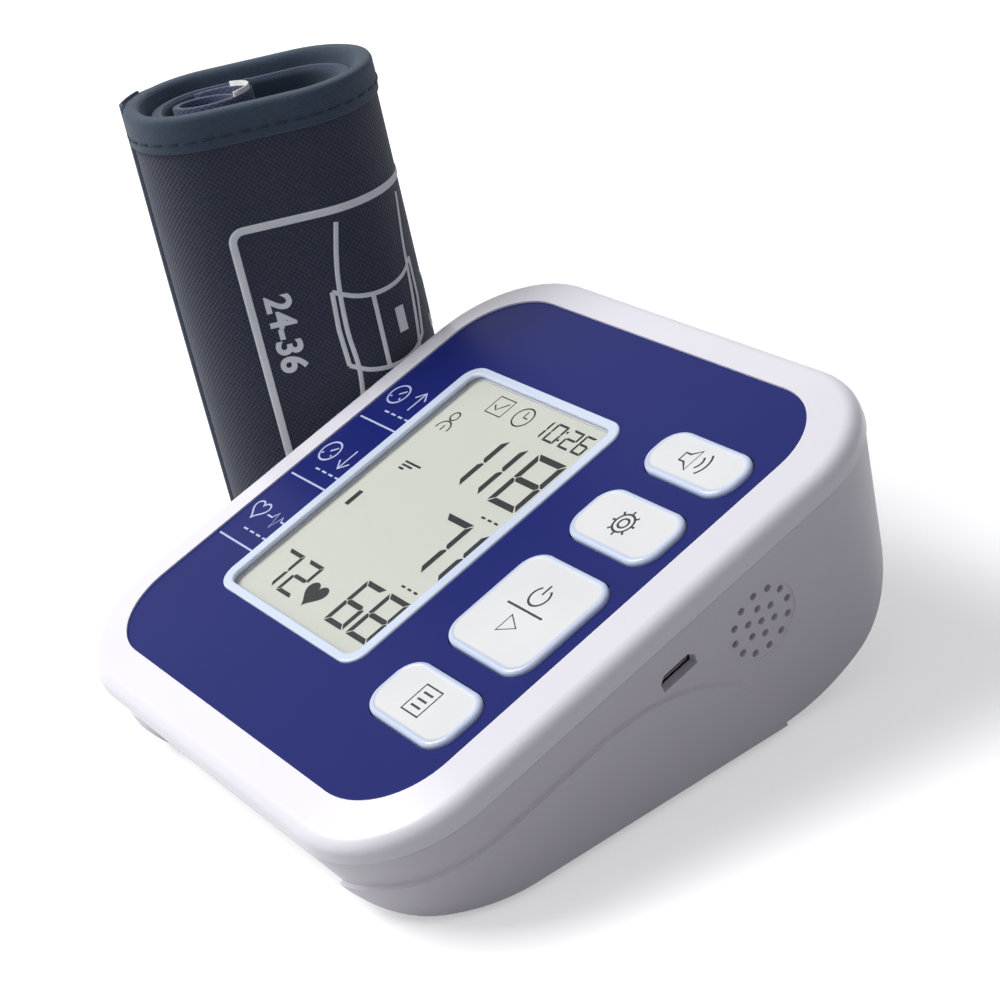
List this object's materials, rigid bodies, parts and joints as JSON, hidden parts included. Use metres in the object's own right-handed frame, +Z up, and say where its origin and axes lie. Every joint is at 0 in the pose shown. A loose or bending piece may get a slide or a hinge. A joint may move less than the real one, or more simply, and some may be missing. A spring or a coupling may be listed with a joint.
{
  "type": "upper arm blood pressure monitor",
  "caption": "Desk-top upper arm blood pressure monitor: wedge-shaped console with display, keys, pump and battery bay, and a rolled fabric cuff standing beside it.",
  "frame": {"origin": "centre of the console's footprint on the desk, under the centre of its face", "axes": "+X to the right of the face, +Y to the rear, up the sloping face, +Z up"},
  "size_m": [0.193, 0.1407, 0.12],
  "materials": {
    "white_plastic": "moulded, satin gloss",
    "blue_panel": "smooth gloss sheet",
    "pale_rim": "soft gloss",
    "clear_lens": "clear",
    "lcd": "matt polariser",
    "silicone": "matt",
    "board": "solder mask",
    "black_plastic": "moulded",
    "tin": "tin plated",
    "steel": "zinc plated",
    "grey_plastic": "fine moulded grain",
    "cell_jacket": "printed jacket",
    "rubber": "matt",
    "key_plastic": "pearly gloss",
    "cuff_cloth": "woven nylon",
    "bladder_rubber": "matt",
    "loop_pile": "brushed loop pile",
    "hook_tape": "moulded hooks"
  },
  "bodies": {
    "console": {"front_cover": "white_plastic", "overlay_panel": "blue_panel", "display_bezel": "pale_rim", "display_lens": "clear_lens", "lcd_glass": "lcd", "lcd_reflector": "white_plastic", "lcd_holder": "black_plastic", "connector_strip": "silicone", "main_board": "board", "tact_switches": "black_plastic", "board_chips": "black_plastic", "capacitors": "tin", "board_screws": "steel", "usb_socket": "tin", "speaker_frame": "steel", "speaker_magnet": "steel", "lower_housing": "grey_plastic", "battery_1": "cell_jacket", "battery_2": "cell_jacket", "battery_3": "cell_jacket", "battery_4": "cell_jacket", "battery_contacts": "tin", "battery_springs": "tin", "pump_motor": "steel", "pump_head": "black_plastic", "air_manifold": "black_plastic", "exhaust_valve": "black_plastic", "pressure_sensor": "black_plastic", "air_socket": "grey_plastic", "pump_tube": "silicone", "socket_tube": "silicone", "sensor_tube": "silicone", "pump_straps": "steel", "case_screws": "steel", "rubber_feet": "rubber"},
    "sound_key": {"sound_button": "key_plastic"},
    "set_key": {"set_button": "key_plastic"},
    "start_key": {"start_button": "key_plastic"},
    "memory_key": {"memory_button": "key_plastic"},
    "battery_door": {"battery_cover": "grey_plastic"},
    "pump_rotor": {"pump_shaft": "steel"},
    "valve": {"valve_plunger": "steel"},
    "speaker_diaphragm": {"speaker_cone": "black_plastic"},
    "cuff": {"cuff_outer_cloth": "cuff_cloth", "cuff_bladder": "bladder_rubber", "cuff_lining": "cuff_cloth", "cuff_inner_turn": "cuff_cloth", "cuff_loop_patch": "loop_pile", "cuff_hook_patch": "hook_tape", "cuff_air_port": "black_plastic"}
  },
  "joints": [
    {"name": "sound_press", "type": "slide", "parent": "console", "child": "sound_key", "axis": [0, 0.274, -0.9617], "range_m": [0, 0.0006], "stiffness_N_per_m": 900},
    {"name": "set_press", "type": "slide", "parent": "console", "child": "set_key", "axis": [0, 0.274, -0.9617], "range_m": [0, 0.0006], "stiffness_N_per_m": 900},
    {"name": "start_press", "type": "slide", "parent": "console", "child": "start_key", "axis": [0, 0.274, -0.9617], "range_m": [0, 0.0006], "stiffness_N_per_m": 900},
    {"name": "memory_press", "type": "slide", "parent": "console", "child": "memory_key", "axis": [0, 0.274, -0.9617], "range_m": [0, 0.0006], "stiffness_N_per_m": 900},
    {"name": "battery_door_hinge", "type": "hinge", "parent": "console", "child": "battery_door", "pos_m": [0, 0.031, 0.0023], "axis": [1, 0, 0], "range_deg": [0, 85]},
    {"name": "pump_shaft_spin", "type": "hinge", "parent": "console", "child": "pump_rotor", "pos_m": [0, 0.048, 0.027], "axis": [1, 0, 0], "continuous": true},
    {"name": "valve_plunger_slide", "type": "slide", "parent": "console", "child": "valve", "axis": [0, 1, 0], "range_m": [0, 0.0008], "stiffness_N_per_m": 200},
    {"name": "speaker_cone_slide", "type": "slide", "parent": "console", "child": "speaker_diaphragm", "axis": [0.982, 0.0518, -0.1819], "range_m": [-0.0003, 0.0003], "stiffness_N_per_m": 900},
    {"name": "cuff_lift", "type": "slide", "parent": "console", "child": "cuff", "axis": [0, 0, 1], "range_m": [0, 0.15]}
  ]
}
